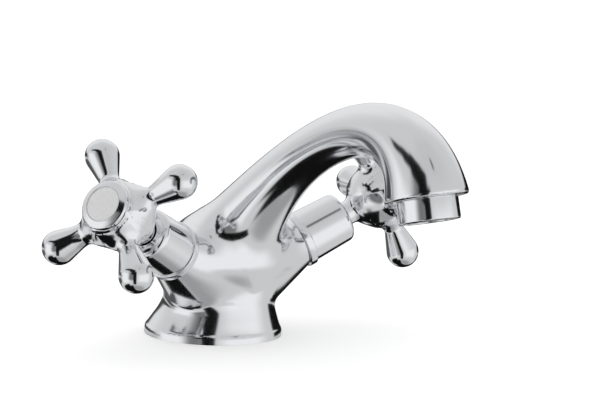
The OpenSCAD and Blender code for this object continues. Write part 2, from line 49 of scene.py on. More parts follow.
# Millimetres are used for all shape maths, and metres for Blender's own data
MM = 0.001
SIDES = {"hot": -1, "cold": 1}

# Mesh settings of the turned pieces: sides round the axis, steps in a fillet, steps across a disc's dome, and
# the lathe's core and the distance at which points are welded, both in millimetres
LATHE_SIDES = 128
FILLET_STEPS = 6
DOME_STEPS = 5
LATHE_CORE = 1.0
WELD = 0.002

# In millimetres: how far a cutter reaches past the surface that it opens, how far a shape runs on past a face
# that is cut later or into the shape above it, and the softness of such hidden ends
OVERCUT = 4.0
RUN_ON = 3
END_BLEND = 2

# Search for the nearest place on the spout's curve: places tried first, points handled at a time and steps of
# refinement; and steps that bring a surface net onto its surface
CURVE_TRIES = 49
CURVE_BATCH = 50000
CURVE_STEPS = 3
NET_STEPS = 4

# Distance of the floor below the foot, in millimetres
FLOOR_GAP = 0.05

# Boxes in which the meshes of the blended shapes are looked for, in millimetres: the body's, and a handle's,
# as its middle's distance below the balls and its half width
BODY_BOX = ((-48, -148, -8), (48, 34, 112))
HANDLE_MIDDLE = 5
HANDLE_REACH = 38


def length(name, about, value):
    """A size in metres, given here in millimetres."""
    return bpy.props.FloatProperty(
        name=name, description=about, default=value * MM, min=0, unit="LENGTH", precision=4)


def angle(name, about, value):
    """An angle in radians, given here in degrees."""
    return bpy.props.FloatProperty(name=name, description=about, default=math.radians(value), unit="ROTATION")


def number(name, about, value, low=0.0, high=100.0):
    """A plain number."""
    return bpy.props.FloatProperty(name=name, description=about, default=value, min=low, max=high)


def colour(name, about, value):
    """A colour as linear red, green and blue."""
    return bpy.props.FloatVectorProperty(
        name=name, description=about, default=value, size=3, min=0, max=1, subtype="COLOR")


class TapBodySizes(bpy.types.PropertyGroup):
    """Sizes of the cast body and its spout"""
    foot_d: length("Foot diameter", "Diameter of the foot's rim", 58)
    foot_rim_h: length("Foot rim height", "Height of the straight rim at the bottom of the foot", 2.4)
    foot_rim_round: length("Foot rim rounding", "Radius of the rim's rounded upper edge", 1)
    foot_step: length("Foot step", "How far inside the rim's edge the foot's flare begins", 0.5)
    step_blend: length("Step blend", "Width of the soft blend between the rim and the flare", 0.8)
    waist_d: length("Waist diameter", "Diameter of the waist above the foot", 43.6)
    waist_z: length("Waist height", "Height of the waist above the basin", 16)
    column_d: length("Column diameter", "Diameter of the body's column", 43.6)
    shoulder_z: length("Shoulder height", "Height at which the column's dome begins", 27)
    spout_reach: length("Spout reach", "Distance from the body's axis to the centre of the mouth", 127)
    mouth_z: length("Mouth height", "Height of the mouth's centre above the basin", 72.5)
    mouth_d: length("Mouth diameter", "Diameter of the mouth", 32.8)
    mouth_tilt: angle("Mouth tilt", "Forward tilt of the mouth", 14.6)
    mouth_round: length("Mouth rounding", "Radius of the mouth's rounded edge", 0.8)
    root_y: length("Spout root offset", "Distance of the spout's root in front of the body's axis", 5)
    root_z: length("Spout root height", "Height of the spout's root", 30)
    root_d: length("Spout root diameter", "Diameter of the spout at its root", 47)
    root_rise: angle("Spout rise", "Rise of the spout at its root", 56.8)
    neck_d: length("Neck diameter", "Diameter of the spout at its neck", 17)
    root_pull: length("Root pull", "How far the root's direction carries", 75)
    mouth_pull: length("Mouth pull", "How far the mouth's direction carries", 46)
    root_taper: number("Root taper", "Power of the taper from the root to the neck", 5.7)
    mouth_flare: number("Mouth flare", "Power of the flare from the neck to the mouth", 2.7)
    arm_rise: angle("Arm rise", "Rise of each valve arm above level", 26.5)
    arm_sweep: angle("Arm sweep", "Forward sweep of each valve arm", 18.2)
    arm_y: length("Arm offset", "Distance in front of the body's axis at which the valve axes meet", 3)
    arm_z: length("Arm height", "Height at which the valve axes meet", 21.4)
    arm_len: length("Arm length", "Length of each arm, from where the axes meet to its face", 38.5)
    arm_d: length("Arm diameter", "Diameter of the arm at its face", 22.6)
    arm_root_d: length("Arm root diameter", "Diameter of the arm at its root", 42)
    arm_root: length("Arm root place", "Distance of the arm's root from where the axes meet", 6)
    foot_blend: length("Foot blend", "Width of the soft blend between the foot and the column", 5)
    arm_blend: length("Arm blend", "Width of the soft blend between the arms and the waist", 2.5)
    spout_blend: length("Spout blend", "Width of the soft blend between the spout and the column", 3)
    top_blend: length("Upper arm blend", "Width of the soft blend between the arms and the spout", 16)
    chamber_d: length("Valve chamber", "Diameter of the chamber in the end of each arm", 16.66)
    chamber_floor: length("Chamber floor", "Distance of the chamber's floor from where the axes meet", 30.08)
    inlet_d: length("Inlet bore", "Diameter of each inlet bore in the foot", 10)
    inlet_h: length("Inlet depth", "Depth of each inlet bore", 14)
    inlet_apart: length("Inlet distance", "Distance between the two inlet bores", 20)
    inlet_front: length("Inlet offset", "Distance of the inlet bores in front of the foot's centre", 6)
    stud_d: length("Stud bore", "Diameter of the fixing stud's bore in the foot", 8)
    stud_h: length("Stud depth", "Depth of the fixing stud's bore", 16)
    stud_back: length("Stud offset", "Distance of the stud's bore behind the foot's centre", 11)
    socket_gap: length("Aerator clearance", "Clearance round the aerator's thread in the mouth", 0.06)
    socket_h: length("Aerator socket depth", "Depth of the aerator's socket in the mouth", 8.8)
    grain: length("Body mesh size", "Edge length of the body's mesh", 0.85)


class TapHandleSizes(bpy.types.PropertyGroup):
    """Sizes of the cross handles"""
    cover_h: length("Cover height", "Height of each bonnet cover", 23.5)
    ball_circle_d: length("Ball circle", "Diameter of the circle through the ball centres", 57)
    ball_d: length("Ball diameter", "Diameter of each ball", 14)
    cross_neck_d: length("Cross neck", "Diameter of the thinnest part of each arm of the cross", 8.2)
    teardrop: angle("Teardrop taper", "Taper of the teardrop behind each ball", 15)
    ball_lift: length("Ball lift", "Distance of the balls from the cover's end along the axis", 19.5)
    hub_neck_d: length("Hub neck", "Diameter of the hub's neck", 10.4)
    hub_bell_d: length("Hub bell", "Diameter of the hub at the widest part of its bell", 23.4)
    hub_top_d: length("Hub top", "Diameter of the hub under the index ring", 19.6)
    bell_gap: length("Bell gap", "Length of the hub's neck that shows above the cover", 3.4)
    bell_h: length("Bell height", "Height over which the hub's bell opens", 10)
    hub_top_lift: length("Hub top lift", "Height of the hub's top above the balls' plane", 9.4)
    hub_rim: length("Hub rim", "Height of the hub's straight rim under the index ring", 0.8)
    hub_edge: length("Hub edge", "Width of the soft edge round the hub's top", 1)
    cross_root: length("Cross root", "How much each arm of the cross thickens toward the hub", 1.8)
    cross_sink: length("Cross root depth", "How deep the root of each arm lies inside the hub's bell", 3.5)
    neck_reach: length("Neck reach", "How far the hub's neck reaches into the bonnet cover", 2.4)
    cup_d: length("Cup diameter", "Diameter of the hub's cup for the index ring's sleeve", 13.1)
    cup_h: length("Cup depth", "Depth of the hub's cup", 3)
    arm_arm_blend: length("Arm fillet", "Width of the soft blend between neighbouring arms", 12)
    arm_hub_blend: length("Hub fillet", "Width of the soft blend between the arms and the hub", 5)
    hot_turn: angle("Hot handle turn", "Turn of the hot handle when shut", 35)
    cold_turn: angle("Cold handle turn", "Turn of the cold handle when shut", 5)
    grain: length("Handle mesh size", "Edge length of a handle's mesh", 0.55)


class TapTrimSizes(bpy.types.PropertyGroup):
    """Sizes of the bonnet covers, index rings and aerator"""
    flange_d: length("Flange diameter", "Diameter of the flange at the bottom of each cover", 24.6)
    flange_h: length("Flange height", "Height of the flange", 3.6)
    flange_round: length("Flange rounding", "Radius of the flange's edges", 0.6)
    cover_d: length("Cover diameter", "Diameter of the cover above its flange", 22.8)
    cover_end_d: length("Cover end diameter", "Diameter of the cover at its handle end", 21.6)
    cover_round: length("Cover rounding", "Radius of the cover's rounded shoulder", 2.6)
    cover_wall: length("Cover wall", "Wall of the cover", 1.2)
    cover_hole_d: length("Cover hole", "Diameter of the hole that the handle's neck turns in", 11.3)
    ring_d: length("Index ring diameter", "Outer diameter of the index ring", 20.4)
    ring_h: length("Index ring height", "Height of the index ring above the hub", 3)
    index_d: length("Index disc diameter", "Diameter of the index disc", 14.3)
    index_h: length("Index disc height", "Thickness of the index disc", 1.6)
    index_gap: length("Index disc gap", "Gap round the index disc", 0.05)
    index_sink: length("Index disc sink", "How far the disc's edge lies below the ring's face", 0.14)
    index_dome: length("Index disc dome", "Rise of the disc's domed face", 0.12)
    index_bevel: length("Index disc bevel", "Width of the bevel on the disc's edge", 0.12)
    ring_round: length("Index ring rounding", "Radius of the ring's rounded outer edge", 1)
    ring_fall: length("Index ring fall", "How far the ring's face falls towards its outer edge", 0.9)
    ring_lip: length("Index ring lip", "Width of the sloping lip inside the ring", 0.14)
    sleeve_d: length("Sleeve diameter", "Outer diameter of the ring's sleeve in the hub", 12.9)
    sleeve_h: length("Sleeve length", "Length of the ring's sleeve in the hub", 2.4)
    sleeve_wall: length("Sleeve wall", "Wall of the ring's sleeve", 1.2)
    aerator_d: length("Aerator diameter", "Outer diameter of the aerator housing", 23.8)
    aerator_h: length("Aerator height", "Height of the aerator housing below the mouth", 8.8)
    aerator_thread_d: length("Aerator thread", "Outer diameter of the aerator housing's thread", 22)
    aerator_thread_h: length("Aerator thread length", "Length of the aerator housing's thread", 7)
    aerator_wall: length("Aerator wall", "Wall of the aerator housing's thread", 1.3)
    aerator_lip: length("Aerator lip", "Width and thickness of the lip round the outlet", 1.6)
    aerator_round: length("Aerator rounding", "Radius of the housing's rounded lower edge", 0.7)


class TapFinish(bpy.types.PropertyGroup):
    """Colours and polish of the materials"""
    chrome: colour("Chrome colour", "Reflected colour of the chrome plate", (0.93, 0.935, 0.945))
    chrome_roughness: number("Chrome roughness", "Roughness of the polished chrome", 0.012, 0, 1)
    satin: colour("Satin colour", "Colour of the satin index discs", (0.92, 0.92, 0.92))
    brass: colour("Brass colour", "Colour of the turned brass", (0.72, 0.50, 0.20))
    rubber: colour("Rubber colour", "Colour of the seals", (0.020, 0.020, 0.022))
    ceramic: colour("Ceramic colour", "Colour of the ceramic discs", (0.86, 0.84, 0.79))
    steel: colour("Steel colour", "Colour of the steel parts", (0.52, 0.53, 0.55))
    plastic: colour("Grid colour", "Colour of the aerator's plastic insert", (0.62, 0.63, 0.65))


class TapStage(bpy.types.PropertyGroup):
    """Camera, floor and light"""
    camera_place: bpy.props.FloatVectorProperty(
        name="Camera place", description="Where the camera stands", default=(-0.6050, -0.7584, 0.1867),
        size=3, subtype="TRANSLATION", unit="LENGTH")
    lens: bpy.props.FloatProperty(
        name="Lens", description="Focal length of the camera", default=139.98, unit="CAMERA")
    roll: angle("Camera roll", "Clockwise roll of the picture", 2.0)
    turn: angle("Camera turn", "Compass direction of the camera's view, from +Y towards -X", -40.64)
    dip: angle("Camera dip", "How far the camera looks down", 7.61)
    floor_size: length("Floor size", "Width of the floor", 6000)
    floor_colour: colour("Floor colour", "Colour of the floor", (1, 1, 1))
    floor_glow: number("Floor glow", "Extra white of the floor, for the camera alone", 0.2, 0, 1)
    light_level: number("Light level", "Strength of the room's light", 1)


# Shape fields. Each gives the distance, in millimetres, from points to a surface, and is negative inside.
def smooth_min(a, b, width):
    """The union of two shapes, with a soft blend of this width."""
    near = np.maximum(width - np.abs(a - b), 0) / width
    return np.minimum(a, b) - near * near * width / 4


def smooth_max(a, b, width):
    """The common part of two shapes, with a soft edge of this width."""
    return -smooth_min(-a, -b, width)


def smooth_step(u):
    """A smooth step from 0 to 1."""
    u = np.clip(u, 0, 1)
    return u * u * (3 - 2 * u)


def ease(a, b, u):
    """From a to b along half a wave, as u goes from 0 to 1."""
    return b + (a - b) * (1 + np.cos(np.pi * u)) / 2


def spout_line(s):
    """The four control points of the spout's curve in the plane x = 0, and the mouth's outward direction."""
    p0 = np.array([-s["root_y"], s["root_z"]])
    rise, tilt = s["root_rise"], s["mouth_tilt"]
    p1 = p0 + s["root_pull"] * np.array([-math.cos(rise), math.sin(rise)])
    p3 = np.array([-s["spout_reach"], s["mouth_z"]])
    out = np.array([-math.sin(tilt), -math.cos(tilt)])
    return p0, p1, p3 - s["mouth_pull"] * out, p3, out


def along_curve(t, p0, p1, p2, p3):
    """Points, first and second derivatives of the cubic curve at each t."""
    t = t[..., None]
    u = 1 - t
    place = u ** 3 * p0 + 3 * u * u * t * p1 + 3 * u * t * t * p2 + t ** 3 * p3
    slope = 3 * u * u * (p1 - p0) + 6 * u * t * (p2 - p1) + 3 * t * t * (p3 - p2)
    bend = 6 * u * (p2 - 2 * p1 + p0) + 6 * t * (p3 - 2 * p2 + p1)
    return place, slope, bend


def spout_field(p, s):
    """A round tube along one cubic curve, thick at its root and flared at its mouth."""
    p0, p1, p2, p3, out = spout_line(s)
    yz = p[:, 1:3]
    tries = np.linspace(0, 1, CURVE_TRIES)
    line = along_curve(tries, p0, p1, p2, p3)[0]
    t = np.empty(len(p))
    for i in range(0, len(p), CURVE_BATCH):
        q = yz[i:i + CURVE_BATCH]
        far = (q[:, 0, None] - line[None, :, 0]) ** 2 + (q[:, 1, None] - line[None, :, 1]) ** 2
        t[i:i + CURVE_BATCH] = tries[far.argmin(1)]
    for _ in range(CURVE_STEPS):
        place, slope, bend = along_curve(t, p0, p1, p2, p3)
        gap = place - yz
        speed = (slope * slope).sum(1)
        t = np.clip(t - (gap * slope).sum(1) / np.maximum(speed + (gap * bend).sum(1), speed / 4), 0, 1)
    place = along_curve(t, p0, p1, p2, p3)[0]
    radius = (s["neck_d"] / 2 + (s["root_d"] - s["neck_d"]) / 2 * (1 - t) ** s["root_taper"]
              + (s["mouth_d"] - s["neck_d"]) / 2 * t ** s["mouth_flare"])
    tube = np.sqrt(p[:, 0] ** 2 + ((place - yz) ** 2).sum(1)) - radius
    # The mouth's plane cuts only the outer half of the tube, not its root
    return np.where(t > 0.5, smooth_max(tube, (yz - p3) @ out, 2 * s["mouth_round"]), tube)


def foot_field(p, s):
    """A flared foot with a thin rounded rim; its waist lies a little in front of its rim."""
    z = p[:, 2]
    rim_z = s["foot_rim_h"] + s["foot_rim_round"]
    rise = s["waist_z"] - rim_z
    u = np.clip((z - rim_z) / rise, 0, 1)
    rho = np.hypot(p[:, 0], p[:, 1] + s["arm_y"] * u)
    start_r = s["foot_d"] / 2 - s["foot_step"]
    fall = start_r - s["waist_d"] / 2
    bell = (rho - start_r + fall * u) / np.hypot(1, fall / rise)
    bell = smooth_max(bell, z - s["waist_z"] - RUN_ON, END_BLEND)
    disc = smooth_max(np.hypot(p[:, 0], p[:, 1]) - s["foot_d"] / 2, z - rim_z, 2 * s["foot_rim_round"])
    return smooth_max(smooth_min(bell, disc, s["step_blend"]), -OVERCUT - z, END_BLEND)


def column_field(p, s):
    """The body's column, with a dome on top."""
    rho = np.hypot(p[:, 0], p[:, 1] + s["arm_y"])
    z = p[:, 2]
    dome = np.hypot(rho, np.maximum(z - s["shoulder_z"], 0)) - s["column_d"] / 2
    return smooth_max(dome, s["waist_z"] / 2 - z, 2 * END_BLEND)


def valve_frame(side, s):
    """Where the valve axes meet, and the rows x, y and outward axis of one valve's own frame."""
    rise, sweep = s["arm_rise"], s["arm_sweep"]
    level = math.cos(rise)
    out = np.array([side * level * math.cos(sweep), -level * math.sin(sweep), math.sin(rise)])
    turn = math.pi + sweep if side < 0 else -sweep
    tip = math.pi / 2 - rise
    x = np.array([math.cos(tip) * math.cos(turn), math.cos(tip) * math.sin(turn), -math.sin(tip)])
    y = np.array([-math.sin(turn), math.cos(turn), 0.0])
    return np.array([0.0, -s["arm_y"], s["arm_z"]]), np.stack([x, y, out])


def upright(x, y):
    """A place on the basin with an upright axis."""
    return np.array([x, y, 0.0]), np.eye(3)


def mouth_frame(s):
    """The mouth's centre, and the rows x, y and outward axis of its own frame."""
    out = spout_line(s)[4]
    x = np.array([1.0, 0.0, 0.0])
    z = np.array([0.0, out[0], out[1]])
    return np.array([0.0, -s["spout_reach"], s["mouth_z"]]), np.stack([x, np.cross(z, x), z])


def in_frame(p, place):
    """The points as seen from a valve's or the mouth's own frame."""
    origin, axes = place
    return (p - origin) @ axes.T


def turned(q, turn):
    """The points as seen from a frame that is turned round its axis."""
    x, y, z = q.T
    across, lean = math.cos(turn), math.sin(turn)
    return np.stack([x * across + y * lean, y * across - x * lean, z], 1)


def arm_field(p, side, s):
    """A plain cone that narrows to the arm's face."""
    q = in_frame(p, valve_frame(side, s))
    w = q[:, 2]
    span = s["arm_len"] - s["arm_root"]
    u = np.clip((w - s["arm_root"]) / span, 0, 1)
    fall = (s["arm_root_d"] - s["arm_d"]) / 2
    rate = np.where((u > 0) & (u < 1), fall / span, 0)
    f = (np.hypot(q[:, 0], q[:, 1]) - s["arm_d"] / 2 - fall * (1 - u)) / np.sqrt(1 + rate ** 2)
    f = smooth_max(f, s["arm_root"] - w, 3 * END_BLEND)
    return smooth_max(f, w - s["arm_len"] - RUN_ON, END_BLEND)


def body_field(p, s):
    """The whole body. Its arms run softly into the spout above, and more tightly into the waist below."""
    f = smooth_min(foot_field(p, s), column_field(p, s), s["foot_blend"])
    f = smooth_min(f, spout_field(p, s), s["spout_blend"])
    above = smooth_step((p[:, 2] - s["waist_z"] - END_BLEND) / s["waist_z"])
    width = s["arm_blend"] + (s["top_blend"] - s["arm_blend"]) * above
    for side in SIDES.values():
        f = smooth_min(f, arm_field(p, side, s), width)
    return f


def hub_field(q, s):
    """The hub: a thin neck, a bell that opens above it, and a rounded top with a short straight rim."""
    w = q[:, 2]
    rho = np.hypot(q[:, 0], q[:, 1])
    foot = s["cover_top"] + s["bell_gap"]
    top = s["hub_top"]
    neck_r, bell_r, top_r = s["hub_neck_d"] / 2, s["hub_bell_d"] / 2, s["hub_top_d"] / 2
    u = np.clip((w - foot) / s["bell_h"], 0, 1)
    rate = (bell_r - neck_r) * np.pi / 2 * np.sin(np.pi * u) / s["bell_h"]
    v = np.clip((w - s["ball_s"]) / (top - s["hub_rim"] - s["ball_s"]), 0, 1)
    r = np.where(w > s["ball_s"], top_r + (bell_r - top_r) * np.sqrt(1 - v * v), ease(neck_r, bell_r, u))
    f = (rho - r) / np.sqrt(1 + rate ** 2)
    # The neck is made a little too long here and is cut to its length later
    edge = s["hub_edge"]
    end = s["cover_top"] - s["neck_reach"] - edge
    return smooth_max(smooth_max(f, w - top, edge), end - w, edge)


def cross_arm_field(q, turn, s):
    """One arm of the cross: a neck that thickens toward the hub, a teardrop and a ball."""
    x, y, w = turned(q, turn).T
    rho = np.hypot(y, w - s["ball_s"])
    ball_r, neck_r, ring_r = s["ball_d"] / 2, s["cross_neck_d"] / 2, s["ball_circle_d"] / 2
    drop = s["teardrop"]
    touch_x = ring_r - ball_r * math.sin(drop)
    neck_x = touch_x - (ball_r * math.cos(drop) - neck_r) / math.tan(drop)
    root_x = s["hub_bell_d"] / 2 - s["cross_sink"]
    v = np.clip((neck_x - x) / (neck_x - root_x), 0, 1)
    stem = rho - neck_r - s["cross_root"] * (1 - np.sqrt(1 - v * v))
    cone = (rho - neck_r - (x - neck_x) * math.tan(drop)) * math.cos(drop)
    ball = np.sqrt((x - ring_r) ** 2 + rho ** 2) - ball_r
    return np.maximum(np.where(x > touch_x, ball, np.where(x > neck_x, cone, stem)), -x)


def handle_field(p, side, turn, s):
    """A whole cross handle, turned round its valve's axis."""
    q = turned(in_frame(p, valve_frame(side, s)), turn)
    arms = cross_arm_field(q, 0, s)
    for k in (1, 2, 3):
        arms = smooth_min(arms, cross_arm_field(q, k * math.pi / 2, s), s["arm_arm_blend"])
    return smooth_min(arms, hub_field(q, s), s["arm_hub_blend"])


def steepness(field, p, reach=0.02):
    """The field's gradient at each point."""
    g = np.empty_like(p)
    for i in range(3):
        e = np.zeros(3)
        e[i] = reach
        g[:, i] = (field(p + e) - field(p - e)) / (2 * reach)
    return g


def net_over(field, low, high, grain, block=8):
    """Vertices and quads on the field's zero surface, with one vertex in each grid cell that it crosses."""
    low, high = np.asarray(low, float), np.asarray(high, float)
    wide = grain * block
    n = np.ceil((high - low) / wide).astype(int)
    blocks = np.indices(n).reshape(3, -1).T
    middle = field(low + (blocks + 0.5) * wide)
    values = middle.reshape(n)
    for axis in range(3):
        values = np.repeat(values, block, axis)
    values = np.pad(values, ((0, 1),) * 3, mode="edge")
    # Only the blocks whose middle lies near the surface are worked out in full
    inner = np.indices([block + 1] * 3).reshape(3, -1).T
    cells = (blocks[np.abs(middle) < wide * 1.3][:, None] * block + inner[None]).reshape(-1, 3)
    single = np.unique(np.ravel_multi_index(cells.T, values.shape))
    cells = np.stack(np.unravel_index(single, values.shape), 1)
    values[tuple(cells.T)] = field(low + cells * grain)
    inside = values < 0
    m = np.array(values.shape) - 1
    corners = [(i, j, k) for i in (0, 1) for j in (0, 1) for k in (0, 1)]
    count = sum(inside[i:m[0] + i, j:m[1] + j, k:m[2] + k].astype(np.int8) for i, j, k in corners)
    where = np.argwhere((count > 0) & (count < 8))
    number_of = np.full(count.shape, -1)
    number_of[tuple(where.T)] = np.arange(len(where))
    at_corner = [values[where[:, 0] + i, where[:, 1] + j, where[:, 2] + k] for i, j, k in corners]
    total = np.zeros((len(where), 3))
    hits = np.zeros(len(where))
    for a in range(8):
        for b in (a | 1, a | 2, a | 4):
            if b == a:
                continue
            crossed = (at_corner[a] < 0) != (at_corner[b] < 0)
            u = at_corner[a] / np.where(crossed, at_corner[a] - at_corner[b], 1)
            start, end = np.array(corners[a], float), np.array(corners[b], float)
            total += crossed[:, None] * (start + u[:, None] * (end - start))
            hits += crossed
    points = low + (where + total / hits[:, None]) * grain
    quads = []
    for axis, (o1, o2) in enumerate(((1, 2), (2, 0), (0, 1))):
        ahead = np.take(inside, range(1, m[axis] + 1), axis)
        behind = np.take(inside, range(0, m[axis]), axis)
        edge = np.argwhere(ahead != behind)
        edge = edge[(edge[:, o1] > 0) & (edge[:, o2] > 0) & (edge[:, o1] < m[o1]) & (edge[:, o2] < m[o2])]
        quad = []
        for d1, d2 in ((1, 1), (0, 1), (0, 0), (1, 0)):
            c = edge.copy()
            c[:, o1] -= d1
            c[:, o2] -= d2
            quad.append(number_of[tuple(c.T)])
        quad = np.stack(quad, 1)
        out = behind[tuple(edge.T)]
        quad[~out] = quad[~out][:, ::-1]
        quads.append(quad)
    # No step is longer than half a cell, and a flat spot in a blend can't throw a point far
    for _ in range(NET_STEPS):
        g = steepness(field, points)
        move = field(points)[:, None] * g / np.maximum((g * g).sum(1), 0.2)[:, None]
        size = np.linalg.norm(move, axis=1)
        points -= move * np.minimum(1, grain / 2 / np.maximum(size, 1e-9))[:, None]
    return points, np.concatenate(quads)


# Mesh helpers
def new_piece(name, points, faces):
    """A mesh object at the origin from points in millimetres."""
    mesh = bpy.data.meshes.new(name)
    mesh.from_pydata((np.asarray(points) * MM).tolist(), [], [list(map(int, f)) for f in faces])
    mesh.validate()
    piece = bpy.data.objects.new(name, mesh)
    bpy.context.scene.collection.objects.link(piece)
    return piece


def placed(points, place):
    """Points of a valve's or the mouth's frame, in the tap's own frame."""
    origin, axes = place
    return np.asarray(points) @ axes + origin


def feed(tree, value, socket):
    """Links a term or an output to a socket, or sets a plain value on it."""
    if isinstance(value, Term):
        value = value.socket
    if isinstance(value, bpy.types.NodeSocket):
        tree.links.new(value, socket)
    else:
        socket.default_value = value


def add(tree, kind, inputs=None, **settings):
    """A new node with its settings made and its inputs fed."""
    node = tree.nodes.new(kind)
    for key, value in settings.items():
        setattr(node, key, value)
    for key, value in (inputs or {}).items():
        feed(tree, value, node.inputs[key])
    return node


def new_group(kind, name, inputs, outputs):
    """A node group, its start node and its end node; inputs and outputs are named with their kinds."""
    group = bpy.data.node_groups.new(name, kind)
    for label, (socket, default) in inputs.items():
        made = group.interface.new_socket(label, in_out="INPUT", socket_type="NodeSocket" + socket)
        if default is not None:
            made.default_value = default
    for label, socket in outputs.items():
        group.interface.new_socket(label, in_out="OUTPUT", socket_type="NodeSocket" + socket)
    return group, add(group, "NodeGroupInput"), add(group, "NodeGroupOutput")


def turned_tree(name, inputs, outline):
    """Geometry Nodes that turn a closed outline round the Z axis, as a lathe does.

    The outline gets the inputs as terms and gives the corners as radius, height and rounding, all in metres,
    anticlockwise in a picture with the radius to the right and the height upward.
    """
    sockets = {label: ("Float", None) for label in inputs}
    sockets["Material"] = ("Material", None)
    tree, start, end = new_group("GeometryNodeTree", name, sockets, {"Geometry": "Geometry"})
    corners = outline({label: Term(tree, start.outputs[label]) for label in inputs})[::-1]
    line = add(tree, "GeometryNodeMeshLine", {"Count": len(corners)})
    index = add(tree, "GeometryNodeInputIndex")
    spots, radii = (add(tree, "GeometryNodeIndexSwitch", data_type=kind) for kind in ("VECTOR", "FLOAT"))
    for node in (spots, radii):
        while len(node.index_switch_items) < len(corners):
            node.index_switch_items.new()
        feed(tree, index.outputs[0], node.inputs["Index"])
    for k, (radius, height, rounding) in enumerate(corners):
        corner = add(tree, "ShaderNodeCombineXYZ", {"X": radius - LATHE_CORE * MM, "Y": height * -1})
        feed(tree, corner.outputs[0], spots.inputs[k + 1])
        feed(tree, rounding, radii.inputs[k + 1])
    put = add(tree, "GeometryNodeSetPosition", {"Geometry": line.outputs[0], "Position": spots.outputs[0]})
    curve = add(tree, "GeometryNodeMeshToCurve", {0: put.outputs[0]})
    closed = add(tree, "GeometryNodeSetSplineCyclic", {0: curve.outputs[0], "Cyclic": True})
    fillet = add(tree, "GeometryNodeFilletCurve", {
        "Curve": closed.outputs[0], "Radius": radii.outputs[0], "Count": FILLET_STEPS}, mode="POLY")
    circle = add(tree, "GeometryNodeCurvePrimitiveCircle", {
        "Resolution": LATHE_SIDES, "Radius": LATHE_CORE * MM})
    sweep = add(tree, "GeometryNodeCurveToMesh", {
        "Curve": circle.outputs[0], "Profile Curve": fillet.outputs[0]})
    real = add(tree, "GeometryNodeRealizeInstances", {0: sweep.outputs[0]})
    weld = add(tree, "GeometryNodeMergeByDistance", {"Geometry": real.outputs[0], "Distance": WELD * MM})
    paint = add(tree, "GeometryNodeSetMaterial", {0: weld.outputs[0], "Material": start.outputs["Material"]})
    feed(tree, paint.outputs[0], end.inputs[0])
    return tree


def tree_piece(name, tree, values, look, place):
    """A piece from a Geometry Nodes tree, made plain and moved from its own frame to its place."""
    piece = new_piece(name, [], [])
    change = piece.modifiers.new("shape", "NODES")
    change.node_group = tree
    for item in tree.interface.items_tree:
        if item.in_out == "INPUT":
            change[item.identifier] = look if item.name == "Material" else values[item.name]
    finish_modifiers(piece)
    origin, axes = place
    move = Matrix(axes.T.tolist()).to_4x4()
    move.translation = Vector(origin * MM)
    piece.data.transform(move)
    shade(piece)
    return piece


def cutter(radius, low, high, place, sides=96):
    """A plain cylinder used only to cut holes."""
    a = np.linspace(0, 2 * np.pi, sides, endpoint=False)
    ring = np.stack([radius * np.cos(a), radius * np.sin(a)], 1)
    points = [(*corner, z) for z in (low, high) for corner in ring]
    faces = [list(range(sides))[::-1], list(range(sides, 2 * sides))]
    faces += [(j, (j + 1) % sides, sides + (j + 1) % sides, sides + j) for j in range(sides)]
    return new_piece("cutter", placed(points, place), faces)


def cut(piece, tools):
    """Takes the tools' volumes out of the piece and deletes them."""
    for tool in tools:
        change = piece.modifiers.new("cut", "BOOLEAN")
        change.operation = "DIFFERENCE"
        change.solver = "EXACT"
        change.object = tool
        finish_modifiers(piece)
        bpy.data.objects.remove(tool, do_unlink=True)


def finish_modifiers(piece):
    """Turns the piece and its modifiers into a plain mesh."""
    graph = bpy.context.evaluated_depsgraph_get()
    graph.update()
    mesh = bpy.data.meshes.new_from_object(piece.evaluated_get(graph))
    old = piece.data
    piece.modifiers.clear()
    piece.data = mesh
    mesh.name = piece.name
    bpy.data.meshes.remove(old)


def read(items, what, width=1, kind=float):
    """One value, or one row of values, for each item of a mesh."""
    values = np.empty(len(items) * width, kind)
    items.foreach_get(what, values)
    return values.reshape(-1, width) if width > 1 else values


def shade(piece, field=None, sharp=35):
    """Smooth shading with sharp creases, and on a blended surface the field's own exact normals."""
    mesh = piece.data
    mesh.shade_smooth()
    mesh.set_sharp_from_angle(angle=math.radians(sharp))
    if field is None:
        return
    co = read(mesh.vertices, "co", 3) / MM
    g = steepness(field, co)
    g /= np.maximum(np.linalg.norm(g, axis=1), 1e-9)[:, None]
    # The field's normals serve where a point lies on the blended surface and its face agrees with them, so
    # not on the faces that a cutter made
    on_surface = np.abs(field(co)) < 0.1
    corner_vertex = read(mesh.loops, "vertex_index", kind=int)
    normals = read(mesh.corner_normals, "vector", 3)
    face_of = np.repeat(read(mesh.polygons, "normal", 3), read(mesh.polygons, "loop_total", kind=int), 0)
    exact = g[corner_vertex]
    use = on_surface[corner_vertex] & ((exact * face_of).sum(1) > 0.9)
    normals[use] = exact[use]
    mesh.normals_split_custom_set(normals.tolist())


def dress(piece, look):
    """Gives the whole piece one material."""
    piece.data.materials.clear()
    piece.data.materials.append(look)
    piece.data.polygons.foreach_set("material_index", [0] * len(piece.data.polygons))


# Reading the sizes
def sizes(context):
    """All sizes in one table: lengths in millimetres, angles in radians."""
    s = {}
    for group in (context.scene.tap_body, context.scene.tap_handle, context.scene.tap_trim):
        for key in group.__annotations__:
            unit = MM if group.bl_rna.properties[key].unit == "LENGTH" else 1
            name = group.bl_rna.identifier + "_grain" if key == "grain" else key
            s[name] = getattr(group, key) / unit
    s["cover_top"] = s["arm_len"] + s["cover_h"]
    s["ball_s"] = s["cover_top"] + s["ball_lift"]
    s["hub_top"] = s["ball_s"] + s["hub_top_lift"]
    return s


